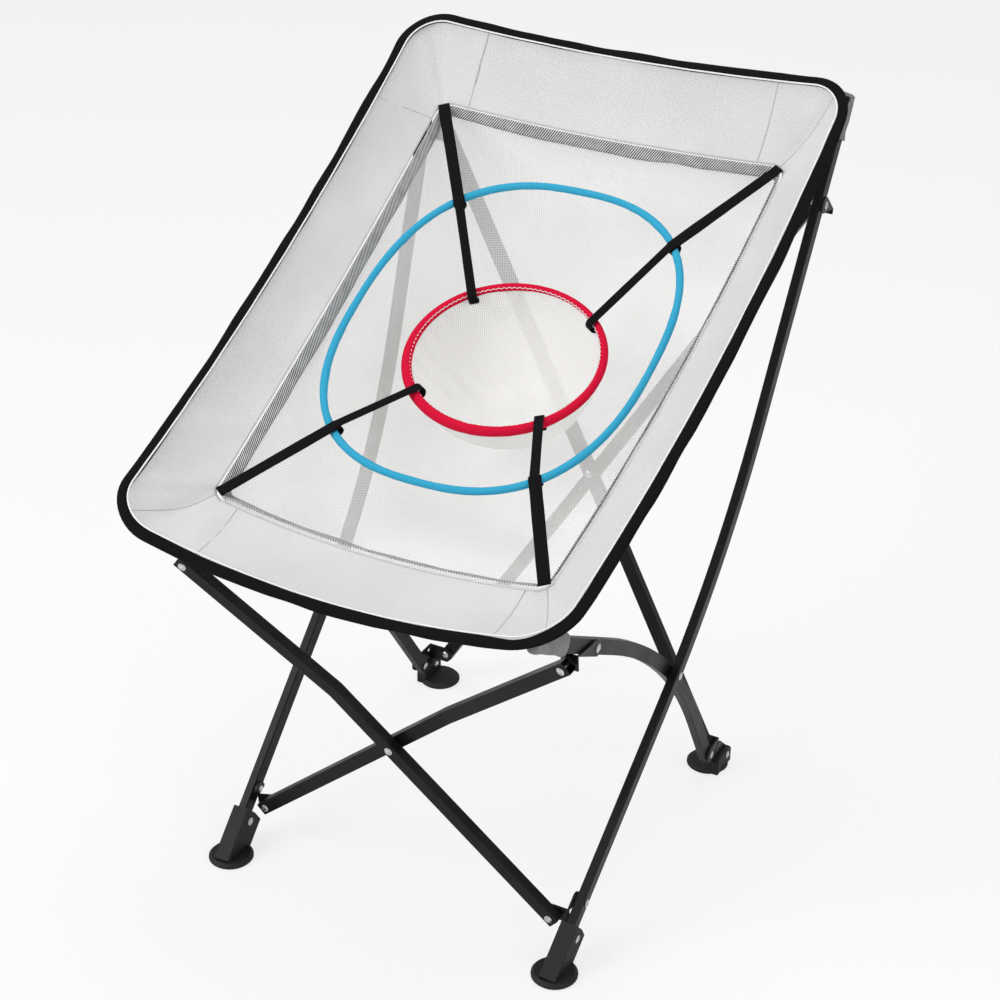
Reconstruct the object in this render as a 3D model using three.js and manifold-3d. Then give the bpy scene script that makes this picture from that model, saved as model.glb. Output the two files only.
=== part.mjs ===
// A folding chipping net: a four-legged scissor frame of flat tube that holds a fabric target.
// Millimetres, +Z up, +Y towards the back. Until the last line, y = 0 lies between the front feet.
import * as THREE from "three";
import { mergeVertices } from "three/addons/utils/BufferGeometryUtils.js";
import Module from "manifold-3d";

const wasm = await Module();
wasm.setup();

// ---- driving dimensions -------------------------------------------------------------
// Flat tube
const tubeWidth = 16; // poles and side tubes, in the plane of the side scissor
const tubeThickness = 10;
const barWidth = 15; // crossed bars, in the plane of their scissor
const barThickness = 12;
const tubeWall = 1.2;
const edgeRound = 1;

// Sides of the frame
const footHalfSpacing = 204; // pole centre line to the middle, at the ground
const splayDeg = 3.2; // each side leans outwards
const poleStart = [0, 12]; // y, z of the pole's lower end
const poleLeanDeg = 46.8; // from vertical
const poleLowerLength = 297;
const poleBendRadius = 760;
const poleBendDeg = 24.8;
const poleUpperLength = 355;
const sidePivot = [244, 241]; // y, z
const sideGap = 0.8; // between a pole and the side tube inside it
const sideTubeTip = [-94.5, 462];
const sideTubeDropDeg = 29.5; // slope of the straight front part
const sideTubeFront = 205;
const sideTubeBendRadius = 780;
const sideTubeBendDeg = 27;
const sideTubeRear = 100;

// Crossed bars: the front pair
const frontLeanDeg = 6.3; // the pair's plane leans forward
const frontLowPin = [183, 37, 50]; // x, y, z on the right-hand side
const frontHighPin = [214, -30, 394];
const frontElbowAt = 0.62; // share of the way up where the bars bend forward
const barSpacing = 14.6; // between the middles of two bars that cross
const barOverhang = 8; // bar beyond its end pins

// Crossed bars: the back pair
const backLowPin = [180, 435, 38];
const backHighPin = [226, 520, 696.5];

// Folded brackets, each with one pin across the frame and one through a bar
const bracketThickness = 2;
const bracketRadius = 9;
const bracketHalfHeight = 9;
const bracketGap = 1.6; // a bracket stays square to X while the side leans
const openPivotGap = 2; // between a bracket and the rivet head of a bar that only meets it
const openTopGap = 3;
const frontPolePin = [52.5, 61.2]; // y, z in the leaning side frame, as are the next three
const hubPin = [30, 391];
const rearPin = [401, 36];
const topPin = [490.2, 706.5];

// Rivets
const rivetRadius = 2.4;
const rivetHeadRadius = 4.6;
const rivetHeadHeight = 1.8;
const clearance = 0.3;
const crossClearance = 0.6; // where a rivet along X passes a leaning tube

// Feet
const padRadius = 25;
const padThickness = 7;
const bootWidth = 19.5;
const bootFront = 10.5; // boot's front face ahead of the pole's middle
const bootRear = 23;
const bootTop = 46; // along the pole from its lower end
const bootRivet = [34.5, -3]; // along the pole, and ahead of its middle
const rearPad = [187, 433]; // x, y
const rearBossTop = 24;
const rearBossWidth = 13;
const rearBossFront = 413; // y
const rearBossLength = 39;
const rearLegRivet = [439, 16]; // y, z

// Net, in its own frame: x across, w up the slope, n out of the front of the target
const netCentre = [0, 229, 606];
const netSlopeDeg = 29.54;
const rimHeight = 56; // rim above the plane of the opening
// Half sizes reach from an outline's own centre. A sag is how far the middle of an edge hangs
// below its corners, and the bow is how far a side swells beyond the line between them.
const rim = {
  centreW: -1, halfLength: 367, topHalf: 270, bottomHalf: 257, topCorner: 50, bottomCorner: 58,
  topSag: 11, sideSag: 30, bottomSag: 32, bow: 4,
};
const opening = {
  centreW: 0, halfLength: 282, topHalf: 210, bottomHalf: 192, topCorner: 16, bottomCorner: 16,
  topSag: 7, sideSag: 14, bottomSag: 17, bow: 4,
};
const bindingWidth = 12;
const bindingThickness = 5;
const borderThickness = 2;
const bagThickness = 2;
const bagDepth = 185;
const bagSetBack = 25; // the bag's floor lies this far up the slope from straight below
const bagFloor = {
  centreW: bagSetBack, halfLength: 150, topHalf: 120, bottomHalf: 120, topCorner: 72, bottomCorner: 72,
  topSag: 0, sideSag: 0, bottomSag: 0, bow: 0,
};
const bagBulge = 8; // swell of the bag's walls at half depth
const outerHoop = { x: 0, w: 6, height: -16, halfWidth: 171, halfLength: 201, power: 2.5, radius: 4 };
const innerHoop = { x: 0, w: -5, height: -47, halfWidth: 106, halfLength: 96, power: 2, radius: 5 };
const cupDepth = 78;
const cupFloorShare = 0.45;
const cupThickness = 2;
const strapThickness = 1.5;
const strapOuterWidth = 14;
const strapInnerWidth = 10;
const strapPaths = {
  // x and w at the opening's corner, on the outer hoop and on the inner hoop
  top: [[203.2, 273.8], [129, 158], [73, 62]],
  bottom: [[185, -274.4], [116, -159], [73, -73]],
};
const pocketWall = 1.6;
const pocketPlay = 0.4; // slack between a pocket and the tube end inside it
const endSeam = 5.6; // half the seam across the lower pocket's end
const sideSeam = [34, 3]; // the upper pocket's seam, from and to, back from its tube's end
const seamGap = 0.85; // between a pocket's seam and the tape it is sewn below
const pocketRound = 1.2;
const upperPocketLength = 44;
const lowerPocketLength = 70;
// Where each pocket's gusset meets the rim: angles on its rounded corner, from the middle outwards
const upperGusset = [12, 66];
const lowerGusset = [288, 334];

// The whole
const originBack = 212.2; // from the front feet back to the middle of the whole depth

// ---- materials ----------------------------------------------------------------------
function material(color, roughness, metalness = 0) {
  return new THREE.MeshStandardMaterial({ color, roughness, metalness, flatShading: true });
}
const paintedTube = () => material(0x26262c, 0.45, 0.6);
const paintedPlate = () => material(0x17171a, 0.5, 0.5);
const rivetSteel = () => material(0xc8c8cc, 0.3, 0.9);
const footPlastic = () => material(0x2a2a2a, 0.7);
const blackBinding = () => material(0x0c0c0d, 0.9);
const paleFabric = () => material(0xd8d8d6, 0.9);
const whiteMesh = () => material(0xf2f2f0, 0.9);
const greyFabric = () => material(0x8c8c8a, 0.9);
const blueFabric = () => material(0x3aa6c8, 0.8);
const redFabric = () => material(0xd0103a, 0.8);

// ---- solids -------------------------------------------------------------------------
const rad = THREE.MathUtils.degToRad;

function solid(geometry) {
  const bare = geometry.index ? geometry.toNonIndexed() : geometry.clone();
  for (const name of Object.keys(bare.attributes)) {
    if (name !== "position") bare.deleteAttribute(name);
  }
  const merged = mergeVertices(bare, 1e-4);
  return new wasm.Manifold(
    new wasm.Mesh({
      numProp: 3,
      vertProperties: merged.attributes.position.array,
      triVerts: new Uint32Array(merged.index.array),
    }),
  );
}

function geometryOf(made) {
  const { vertProperties, triVerts } = made.getMesh();
  const geometry = new THREE.BufferGeometry();
  geometry.setAttribute("position", new THREE.BufferAttribute(vertProperties, 3));
  geometry.setIndex(new THREE.BufferAttribute(triVerts, 1));
  geometry.computeVertexNormals();
  return geometry;
}

const joined = (...parts) => geometryOf(parts.map(solid).reduce((a, b) => a.add(b)));
const cut = (body, ...tools) => geometryOf(tools.map(solid).reduce((a, b) => a.subtract(b), solid(body)));

function mesh(name, geometry, made) {
  const piece = new THREE.Mesh(geometry, made);
  piece.name = name;
  return piece;
}

// A plate: an outline drawn in two axes of a frame, and its thickness along the third.
function plate(shape, thickness, round = 0, roundSteps = 2) {
  const geometry = new THREE.ExtrudeGeometry(shape, {
    depth: thickness - 2 * round,
    curveSegments: 10,
    bevelEnabled: round > 0,
    bevelThickness: round,
    bevelSize: round,
    bevelOffset: -round,
    bevelSegments: roundSteps,
  });
  return geometry.translate(0, 0, round - thickness / 2);
}

// Drawn y and z become the frame's y and z, and the thickness runs along x.
const acrossX = new THREE.Matrix4().set(0, 0, 1, 0, 1, 0, 0, 0, 0, 1, 0, 0, 0, 0, 0, 1);

function pinHole(radius, length) {
  return new THREE.CylinderGeometry(radius, radius, length, 16).rotateX(Math.PI / 2);
}

// A rivet along Z: a shank between two domed heads, its grip centred on the origin.
function rivet(grip) {
  const half = grip / 2 + clearance;
  const r = rivetHeadRadius;
  const top = half + rivetHeadHeight;
  const profile = [
    [0, -top],
    [r * 0.6, -top + 0.4],
    [r, -half - 0.5],
    [r, -half],
    [rivetRadius, -half],
    [rivetRadius, half],
    [r, half],
    [r, half + 0.5],
    [r * 0.6, top - 0.4],
    [0, top],
  ].map(([x, y]) => new THREE.Vector2(x, y));
  return new THREE.LatheGeometry(profile, 14).rotateX(Math.PI / 2);
}

// One head and the shank behind it, which ends just past the inner face of the front bar.
function halfRivet() {
  const back = new THREE.BoxGeometry(40, 40, 40).translate(0, 0, -20 + (barSpacing - barThickness) / 2 - clearance);
  return cut(rivet(barSpacing + barThickness), back);
}

// ---- centre lines of bent tubes -----------------------------------------------------
// Each step is ["straight", length] or ["bend", radius, degrees]; a bend's sign turns the line.
function centreLine(start, headingDeg, steps) {
  let at = new THREE.Vector2(...start);
  let heading = rad(headingDeg);
  const line = [{ at: at.clone(), heading }];
  for (const [kind, size, turnDeg] of steps) {
    const count = kind === "bend" ? 14 : 1;
    for (let i = 0; i < count; i++) {
      const turn = kind === "bend" ? rad(turnDeg) / count : 0;
      const chord = kind === "bend" ? 2 * size * Math.sin(Math.abs(turn) / 2) : size;
      const direction = heading + turn / 2;
      at = at.clone().add(new THREE.Vector2(Math.cos(direction), Math.sin(direction)).multiplyScalar(chord));
      heading += turn;
      line.push({ at, heading });
    }
  }
  return line;
}

function ribbon(line, width, endMargin = 0) {
  const side = (point, s) =>
    point.at.clone().add(new THREE.Vector2(-Math.sin(point.heading), Math.cos(point.heading)).multiplyScalar(s));
  const along = (point, s) =>
    point.at.clone().add(new THREE.Vector2(Math.cos(point.heading), Math.sin(point.heading)).multiplyScalar(s));
  const ends = line.map((point, i) => {
    const margin = i === 0 ? -endMargin : i === line.length - 1 ? endMargin : 0;
    return { at: along(point, margin), heading: point.heading };
  });
  const right = ends.map((point) => side(point, -width / 2));
  const left = ends.map((point) => side(point, width / 2)).reverse();
  return new THREE.Shape([...right, ...left]);
}

// Hollow flat tube with open ends and cross holes; a hole is [u, v] in the drawing, and its clearance.
function flatTube(line, width, thickness, holes) {
  const outer = plate(ribbon(line, width), thickness, edgeRound);
  const bore = plate(ribbon(line, width - 2 * tubeWall, 1), thickness - 2 * tubeWall);
  const drills = holes.map(([u, v, gap = clearance]) => pinHole(rivetRadius + gap, thickness * 3).translate(u, v, 0));
  return cut(outer, bore, ...drills);
}

// ---- sides --------------------------------------------------------------------------
const sin = (deg) => Math.sin(rad(deg));
const cos = (deg) => Math.cos(rad(deg));
const splay = rad(splayDeg);
const poleHeading = 90 - poleLeanDeg;

// A point of the leaning side frame, given by its offset across the frame, in the part's frame
const sidePoint = (offset, y, z) => [
  footHalfSpacing + offset * Math.cos(splay) + z * Math.sin(splay),
  y,
  z * Math.cos(splay) - offset * Math.sin(splay),
];

// A point near the pole's lower end, along it and ahead of its middle
function onPole(along, ahead) {
  const d = new THREE.Vector2(cos(poleHeading), sin(poleHeading));
  return new THREE.Vector2(...poleStart).addScaledVector(d, along).add(new THREE.Vector2(-d.y, d.x).multiplyScalar(ahead));
}
const poleLine = centreLine(poleStart, poleHeading, [
  ["straight", poleLowerLength],
  ["bend", poleBendRadius, poleBendDeg],
  ["straight", poleUpperLength],
]);
const sideTubeLine = centreLine(sideTubeTip, -sideTubeDropDeg, [
  ["straight", sideTubeFront],
  ["bend", sideTubeBendRadius, -sideTubeBendDeg],
  ["straight", sideTubeRear],
]);
const sideTubeOffset = -(tubeThickness + sideGap);

function alongX(geometry, offset, y = 0, z = 0) {
  return geometry.applyMatrix4(acrossX).translate(offset, y, z);
}

function pole() {
  const holes = [onPole(...bootRivet).toArray(), [...frontPolePin, crossClearance], sidePivot, [...topPin, crossClearance]];
  return alongX(flatTube(poleLine, tubeWidth, tubeThickness, holes), 0);
}

function sideTube() {
  const holes = [sidePivot, [...hubPin, crossClearance], [...rearPin, crossClearance]];
  return alongX(flatTube(sideTubeLine, tubeWidth, tubeThickness, holes), sideTubeOffset);
}

// The boot leans with the pole it holds; the pad moulded to it lies level on the ground.
function frontFoot() {
  const outline = new THREE.Shape([
    onPole(-16, bootFront),
    onPole(-16, -4),
    onPole(8, -bootRear),
    onPole(bootTop - 3, -bootRear),
    onPole(bootTop, -tubeWidth / 2),
    onPole(bootTop, bootFront),
  ]);
  const lean = (geometry) => alongX(geometry, 0).rotateY(splay).translate(footHalfSpacing, 0, 0);
  const boot = lean(plate(outline, bootWidth, edgeRound));
  const ground = new THREE.BoxGeometry(200, 200, 60).translate(footHalfSpacing, 0, -30);
  const socket = lean(
    plate(ribbon(poleLine.slice(0, 2), tubeWidth + 2 * clearance, clearance), tubeThickness + 2 * clearance),
  );
  const hole = lean(pinHole(rivetRadius + clearance, bootWidth * 2).translate(...onPole(...bootRivet), 0));
  return cut(joined(boot, pad().translate(footHalfSpacing, 0, 0)), ground, socket, hole);
}

function pad() {
  const profile = [
    [0, 0],
    [padRadius - 1.5, 0],
    [padRadius, 1.5],
    [padRadius, padThickness - 3],
    [padRadius - 3, padThickness],
    [0, padThickness],
  ].map(([x, y]) => new THREE.Vector2(x, y));
  return new THREE.LatheGeometry(profile, 28).rotateX(Math.PI / 2);
}

// ---- scissor planes -----------------------------------------------------------------
// The frame of a crossed pair: x across, h up the plane, n square to it and forward.
function scissorPlane(lowPin, leanDeg) {
  const up = new THREE.Vector3(0, sin(leanDeg), cos(leanDeg));
  const out = new THREE.Vector3(0, -cos(leanDeg), sin(leanDeg));
  const origin = new THREE.Vector3(0, lowPin[1], lowPin[2]);
  const group = new THREE.Group();
  group.applyMatrix4(new THREE.Matrix4().makeBasis(new THREE.Vector3(1, 0, 0), up, out).setPosition(origin));
  const toPlane = ([x, y, z]) => {
    const v = new THREE.Vector3(0, y, z).sub(origin);
    return new THREE.Vector3(x, v.dot(up), v.dot(out));
  };
  return { group, toPlane, up, out, origin };
}

const frontPlane = scissorPlane(frontLowPin, -frontLeanDeg);
const backLeanDeg = THREE.MathUtils.radToDeg(
  Math.atan2(backHighPin[1] - backLowPin[1], backHighPin[2] - backLowPin[2]),
);
const backPlane = scissorPlane(backLowPin, backLeanDeg);

function barEnds(plane, lowPin, highPin) {
  const low = plane.toPlane(lowPin);
  const high = plane.toPlane(highPin);
  const share = low.x / (low.x + high.x);
  return { low, high, pivotHeight: high.y * share };
}
const front = barEnds(frontPlane, frontLowPin, frontHighPin);
const frontReach = front.high.z;
const back = barEnds(backPlane, backLowPin, backHighPin);

// A bar from the right foot up to the left, drawn along its own length; its upper part may
// bend out of the scissor plane by `reach` at the high pin.
function crossBar(ends, reach) {
  const span = ends.low.x + ends.high.x;
  const length = Math.hypot(span, ends.high.y);
  const angle = Math.atan2(ends.high.y, -span);
  const elbowAt = frontElbowAt * length;
  const bend = Math.atan2(reach, length - elbowAt);
  // Side view of the bar: s along it, n across its thickness.
  const line = (overhang) => {
    const past = new THREE.Vector2(Math.cos(bend), Math.sin(bend)).multiplyScalar(overhang);
    return [
      { at: new THREE.Vector2(-overhang, 0), heading: 0 },
      { at: new THREE.Vector2(elbowAt, 0), heading: bend / 2 },
      { at: new THREE.Vector2(length, reach).add(past), heading: bend },
    ];
  };
  const outer = plate(ribbon(line(barOverhang), barThickness), barWidth, edgeRound);
  const bore = plate(ribbon(line(barOverhang + 1), barThickness - 2 * tubeWall), barWidth - 2 * tubeWall);
  const holeRadius = rivetRadius + clearance;
  const drill = (s, n, tilt) =>
    new THREE.CylinderGeometry(holeRadius, holeRadius, barThickness * 3, 16).rotateZ(tilt).translate(s, n, 0);
  const pivotAt = (ends.low.x / span) * length;
  const made = cut(outer, bore, drill(0, 0, 0), drill(pivotAt, 0, 0), drill(length, reach, bend));
  // s runs up the bar, the drawing's second axis is n, and the third is across the bar.
  const basis = new THREE.Matrix4().makeBasis(
    new THREE.Vector3(Math.cos(angle), Math.sin(angle), 0),
    new THREE.Vector3(0, 0, 1),
    new THREE.Vector3(Math.sin(angle), -Math.cos(angle), 0),
  );
  return made.applyMatrix4(basis).translate(ends.low.x, 0, 0);
}

// Turns something drawn square to the pair's plane to lie square to the bent upper part of
// the bar that ends on this side.
function upperBarTilt(ends) {
  const span = ends.low.x + ends.high.x;
  const length = Math.hypot(span, ends.high.y);
  const bend = Math.atan2(ends.high.z, length * (1 - frontElbowAt));
  const axis = new THREE.Vector3(ends.high.y, -span, 0).normalize();
  return new THREE.Matrix4().makeRotationAxis(axis, bend);
}

// ---- brackets -----------------------------------------------------------------------
// One flange lies square to X against a pole or tube, the other square to the scissor's
// pins against a bar. `flange` is x of the first, `offset` the second's n, and `crossPin`
// the pin that crosses the frame.
function bracketShapes(plane, barPin, crossPin, flange, offset, edgeLow, edgeHigh) {
  const t = bracketThickness;
  const pin = plane.toPlane(barPin);
  const cross = plane.toPlane([0, ...crossPin]);
  const inward = Math.sign(pin.x - flange);
  const low = pin.y - edgeLow;
  const high = pin.y + edgeHigh;
  const barTab = new THREE.Shape();
  barTab.moveTo(flange - (inward * t) / 2, low);
  barTab.lineTo(pin.x, pin.y - bracketRadius);
  barTab.absarc(pin.x, pin.y, bracketRadius, -Math.PI / 2, Math.PI / 2, inward < 0);
  barTab.lineTo(flange - (inward * t) / 2, high);
  const tab = plate(barTab, t).translate(0, 0, offset);
  // The other tab is drawn in n (first) and h (second).
  const away = Math.sign(cross.z - offset);
  const edge = offset - (away * t) / 2;
  const direction = Math.atan2(cross.y - (low + high) / 2, cross.z - offset);
  const crossTab = new THREE.Shape();
  crossTab.moveTo(edge, low);
  const turn = away > 0 ? -Math.PI / 2 : Math.PI / 2;
  crossTab.absarc(cross.z, cross.y, bracketRadius, direction + turn, direction - turn, away < 0);
  crossTab.lineTo(edge, high);
  const side = plate(crossTab, t)
    .applyMatrix4(new THREE.Matrix4().set(0, 0, -1, 0, 0, 1, 0, 0, 1, 0, 0, 0, 0, 0, 0, 1))
    .translate(flange, 0, 0);
  return { tab, side, pin, cross };
}

function bracket({ plane, barPin, crossPin, flange, offset, leg, low = bracketHalfHeight, high = bracketHalfHeight }) {
  const { tab, side, pin, cross } = bracketShapes(plane, barPin, crossPin, flange, offset, low, high);
  const radius = rivetRadius + clearance;
  const barHole = pinHole(radius, 20).translate(pin.x, pin.y, offset);
  const crossHole = pinHole(radius, 20)
    .rotateY(Math.PI / 2)
    .translate(flange, cross.y, cross.z);
  const pieces = [tab, side];
  if (leg) pieces.push(bracketLeg(flange).applyMatrix4(plane.group.matrix.clone().invert()));
  const drills = [barHole, crossHole];
  if (leg) drills.push(alongX(pinHole(radius, 20), flange, ...rearLegRivet).applyMatrix4(plane.group.matrix.clone().invert()));
  return cut(joined(...pieces), ...drills).applyMatrix4(plane.group.matrix);
}

// The rear lower bracket reaches down into its foot.
function bracketLeg(flange) {
  const from = rearBossFront;
  const to = from + rearBossLength;
  const outline = new THREE.Shape(
    [[from + 2, 40], [from + 2, 9], [to - 3, 9], [to - 3, 22], [from + 16, 40]].map(([y, z]) => new THREE.Vector2(y, z)),
  );
  return alongX(plate(outline, bracketThickness), flange);
}

function rearFoot(flange) {
  const from = rearBossFront;
  const to = from + rearBossLength;
  const boss = plate(
    new THREE.Shape(
      [[from, 1], [to, 1], [to, rearBossTop - 5], [to - 5, rearBossTop], [from + 5, rearBossTop], [from, rearBossTop - 5]].map(
        ([y, z]) => new THREE.Vector2(y, z),
      ),
    ),
    rearBossWidth,
    edgeRound,
  );
  const slot = alongX(
    new THREE.BoxGeometry(to - from - 1.4, 60, bracketThickness + 2 * clearance),
    flange,
    (from + to) / 2 - 0.5,
    38.7,
  );
  const hole = alongX(pinHole(rivetRadius + clearance, 40), flange, ...rearLegRivet);
  return cut(joined(pad().translate(...rearPad, 0), alongX(boss, flange)), slot, hole);
}

// ---- lofted fabric ------------------------------------------------------------------
// Loops of equal point counts skinned into one closed surface. A ring's last loop meets
// its first; a cup's first and last loops are closed by a fan to their own middle.
function skin(loops, ring) {
  const count = loops[0].length;
  const positions = loops.flat().flatMap((p) => p.toArray());
  const index = [];
  const rows = ring ? loops.length : loops.length - 1;
  for (let r = 0; r < rows; r++) {
    const a = r * count;
    const b = ((r + 1) % loops.length) * count;
    for (let i = 0; i < count; i++) {
      const j = (i + 1) % count;
      index.push(a + i, a + j, b + j, a + i, b + j, b + i);
    }
  }
  if (!ring) {
    for (const [row, flip] of [[0, true], [loops.length - 1, false]]) {
      const middle = loops[row].reduce((sum, p) => sum.add(p), new THREE.Vector3()).divideScalar(count);
      const centre = positions.length / 3;
      positions.push(...middle.toArray());
      for (let i = 0; i < count; i++) {
        const a = row * count + i;
        const b = row * count + ((i + 1) % count);
        index.push(...(flip ? [centre, b, a] : [centre, a, b]));
      }
    }
  }
  const geometry = new THREE.BufferGeometry();
  geometry.setAttribute("position", new THREE.Float32BufferAttribute(positions, 3));
  geometry.setIndex(index);
  const made = solid(geometry);
  if (made.volume() >= 0) return geometryOf(made);
  for (let i = 0; i < index.length; i += 3) [index[i], index[i + 1]] = [index[i + 1], index[i]];
  geometry.setIndex(index);
  return geometryOf(solid(geometry));
}

// A rounded four-sided loop of the net, wider at the top than the bottom, whose edges sag
function netOutline(shape, inset, height, perCorner = 5, perSide = 5) {
  const halfLength = shape.halfLength - inset;
  const corners = [
    [shape.topHalf - inset, halfLength, 0, shape.topCorner],
    [inset - shape.topHalf, halfLength, 90, shape.topCorner],
    [inset - shape.bottomHalf, -halfLength, 180, shape.bottomCorner],
    [shape.bottomHalf - inset, -halfLength, 270, shape.bottomCorner],
  ];
  const points = corners.flatMap(([x, w, start, radius]) => {
    const corner = radius - inset;
    const cx = x - Math.sign(x) * corner;
    const cw = w - Math.sign(w) * corner;
    return Array.from({ length: perCorner }, (_, i) => {
      const deg = start + (90 * i) / (perCorner - 1);
      return new THREE.Vector3(cx + corner * cos(deg), cw + corner * sin(deg), height);
    });
  });
  const full = [];
  points.forEach((p, i) => {
    full.push(p);
    if ((i + 1) % perCorner) return;
    const q = points[(i + 1) % points.length];
    for (let k = 1; k <= perSide; k++) full.push(p.clone().lerp(q, k / (perSide + 1)));
  });
  return full.map((p) => sagged(p, shape, inset));
}

// Moves a point of an outline straight down by its edge's sag, and a side's outwards by its bow.
function sagged(point, shape, inset) {
  const along = point.y / (shape.halfLength - inset);
  const half = THREE.MathUtils.lerp(shape.bottomHalf, shape.topHalf, (along + 1) / 2) - inset;
  const fromEnds = Math.max(0, 1 - along ** 2);
  const fromSides = Math.max(0, 1 - (point.x / half) ** 2);
  const endSag = along > 0 ? shape.topSag : shape.bottomSag;
  const drop = shape.sideSag * fromEnds + endSag * fromSides * along ** 2;
  return new THREE.Vector3(
    point.x + Math.sign(point.x) * shape.bow * fromEnds * Math.abs(point.x / half),
    point.y + shape.centreW - drop * sin(netSlopeDeg),
    point.z - drop * cos(netSlopeDeg),
  );
}

const rimOutline = (inset, height) => netOutline(rim, inset, height);
const openingOutline = (inset, height) => netOutline(opening, inset, height);

function rimBinding() {
  const half = bindingThickness / 2;
  const soft = bindingThickness / 4;
  return skin(
    [
      rimOutline(0, rimHeight + half - soft),
      rimOutline(soft, rimHeight + half),
      rimOutline(bindingWidth - soft, rimHeight + half),
      rimOutline(bindingWidth, rimHeight + half - soft),
      rimOutline(bindingWidth, rimHeight - half + soft),
      rimOutline(bindingWidth - soft, rimHeight - half),
      rimOutline(soft, rimHeight - half),
      rimOutline(0, rimHeight - half + soft),
    ],
    true,
  );
}

// The sloping woven border, from just inside the binding down to the opening.
function border() {
  const top = rimHeight + borderThickness / 2;
  const inset = bindingWidth + clearance;
  return skin(
    [
      rimOutline(inset, top),
      openingOutline(0, borderThickness),
      openingOutline(0, 0),
      rimOutline(inset, top - borderThickness),
    ],
    true,
  );
}

function bagLoop(share, grow) {
  const shape = {};
  for (const key of Object.keys(opening)) {
    const pace = key.endsWith("Half") || key === "halfLength" ? share ** 1.6 : share;
    shape[key] = THREE.MathUtils.lerp(opening[key], bagFloor[key], pace);
  }
  return netOutline(shape, -grow - bagBulge * Math.sin(share * Math.PI), -clearance - share * bagDepth);
}

function pocketBag() {
  const shares = [0, 0.2, 0.4, 0.6, 0.8, 0.93, 1];
  const outer = shares.map((s) => bagLoop(s, 0));
  const inner = shares.map((s) => bagLoop(s * (1 - bagThickness / bagDepth), -bagThickness)).reverse();
  return skin([...outer.reverse(), ...inner.reverse()], false);
}

function hoopPoint({ x, w, height, halfWidth, halfLength, power }, angle, grow = 0) {
  const c = Math.cos(angle);
  const s = Math.sin(angle);
  const bow = (v) => Math.sign(v) * Math.abs(v) ** (2 / power);
  return new THREE.Vector3(x + (halfWidth + grow) * bow(c), w + (halfLength + grow) * bow(s), height);
}

function hoop(shape) {
  const steps = 40;
  const sides = 8;
  const loops = [];
  for (let k = 0; k < sides; k++) {
    const a = (2 * Math.PI * k) / sides;
    const loop = [];
    for (let i = 0; i < steps; i++) {
      const p = hoopPoint(shape, (2 * Math.PI * i) / steps, shape.radius * Math.cos(a));
      loop.push(p.setZ(shape.height + shape.radius * Math.sin(a)));
    }
    loops.push(loop);
  }
  return skin(loops, true);
}

// The net cup that hangs from the inner hoop.
function cupNet() {
  const steps = 28;
  const ring = (share, depth, grow) => {
    const loop = [];
    for (let i = 0; i < steps; i++) {
      const p = hoopPoint(innerHoop, (2 * Math.PI * i) / steps);
      const centre = new THREE.Vector3(innerHoop.x, innerHoop.w, innerHoop.height);
      p.sub(centre).multiplyScalar(share).add(centre);
      const out = p.clone().sub(centre).setLength(grow);
      loop.push(p.add(out).setZ(depth));
    }
    return loop;
  };
  const top = innerHoop.height - innerHoop.radius - clearance;
  const levels = [0, 0.25, 0.5, 0.75, 0.92, 1];
  const share = (s) => 1 - (1 - cupFloorShare) * s ** 2.4;
  const outer = levels.map((s) => ring(share(s), top - cupDepth * s, 0));
  const inner = levels.map((s) => ring(share(s), top - (cupDepth - cupThickness) * s, -cupThickness));
  return skin([...outer.reverse(), ...inner], false);
}

// A strap from a corner of the opening down over both hoops, narrower past the outer one.
function strap(points, sign) {
  const above = (hoop) => hoop.height + hoop.radius + clearance;
  const cornerDrop = sagged(new THREE.Vector3(...points[0], 0), opening, 0).z;
  const cornerHeight = borderThickness + clearance + cornerDrop;
  const heights = [cornerHeight, above(outerHoop), above(outerHoop), above(innerHoop)];
  const widths = [strapOuterWidth, strapOuterWidth, strapInnerWidth, strapInnerWidth];
  const [corner, middle, end] = points.map(([x, w]) => new THREE.Vector2(sign * x, w));
  const rest = end.clone().sub(corner).setLength(outerHoop.radius + 3);
  const path = [corner, middle.clone().sub(rest), middle.clone().add(rest), end];
  const across = end.clone().sub(corner).normalize().rotateAround(new THREE.Vector2(), Math.PI / 2);
  return skin(
    path.map((p, i) => {
      const at = (share, height) =>
        new THREE.Vector3(p.x + across.x * share * widths[i], p.y + across.y * share * widths[i], height);
      const top = heights[i] + strapThickness;
      return [at(-0.5, heights[i]), at(0.5, heights[i]), at(0.5, top), at(-0.5, top)];
    }),
    false,
  );
}

// A point of the tape's underside on a rounded corner of the rim, in the part's frame: `deg` is
// the place on the corner and `aside` the distance outwards from the tape's middle.
function underRim(deg, aside) {
  const toPart = new THREE.Matrix4().makeRotationX(rad(netSlopeDeg)).setPosition(...netCentre);
  const [half, corner, end] = deg < 180 ? [rim.topHalf, rim.topCorner, 1] : [rim.bottomHalf, rim.bottomCorner, -1];
  const r = corner - bindingWidth / 2 + aside;
  const height = rimHeight - bindingThickness / 2 - seamGap;
  const flat = new THREE.Vector3(half - corner + r * cos(deg), end * (rim.halfLength - corner) + r * sin(deg), height);
  return sagged(flat, rim, bindingWidth / 2).applyMatrix4(toPart);
}

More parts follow.
